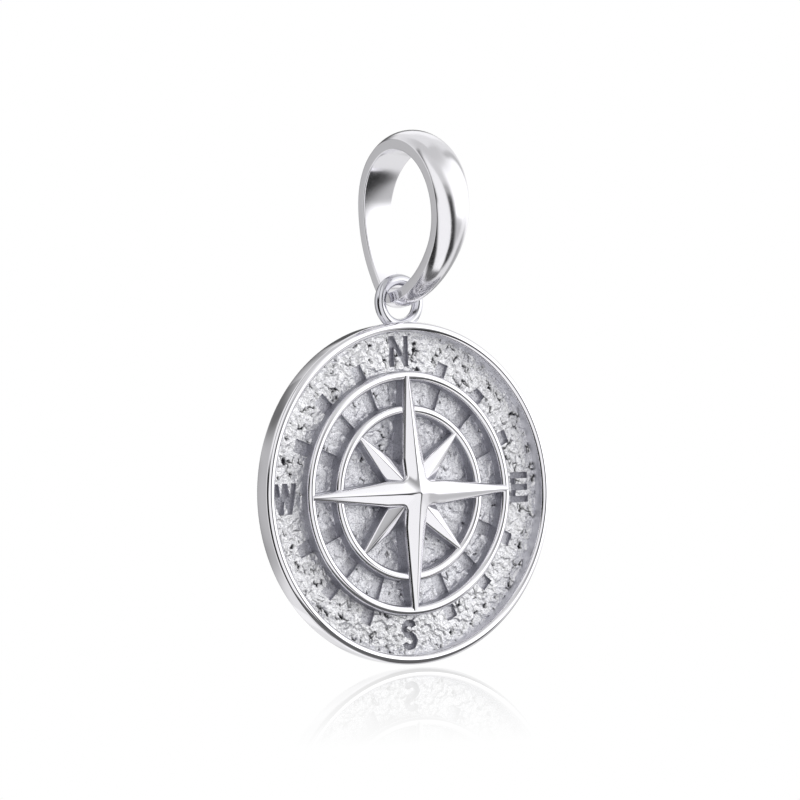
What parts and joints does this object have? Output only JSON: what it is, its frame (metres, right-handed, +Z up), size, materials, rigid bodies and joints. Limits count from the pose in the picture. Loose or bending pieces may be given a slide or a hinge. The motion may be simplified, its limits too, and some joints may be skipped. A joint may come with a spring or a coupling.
{
  "type": "compass pendant",
  "caption": "Round white-metal pendant with a raised compass rose, sunk marks and compass letters, a soldered loop and a teardrop bail for a chain.",
  "frame": {"origin": "highest point inside the bail's eye, where the chain carries the pendant", "axes": "+X along the chain through the eye, to the wearer's left and to the letter E; +Y towards the wearer, the face looks along -Y; +Z up"},
  "size_m": [0.022, 0.0101, 0.0342],
  "materials": {
    "polished_silver": "mirror polish, rhodium plated",
    "cast_silver": "rough cast and frosted between polished raised lines, rhodium plated"
  },
  "bodies": {
    "bail": {"bail": "polished_silver"},
    "medallion": {"medallion": "cast_silver"}
  },
  "joints": [
    {"name": "medallion_swing", "type": "hinge", "parent": "bail", "child": "medallion", "pos_m": [0, 0.00189, -0.00823], "axis": [1, 0, 0], "range_deg": [-45, 90]}
  ]
}
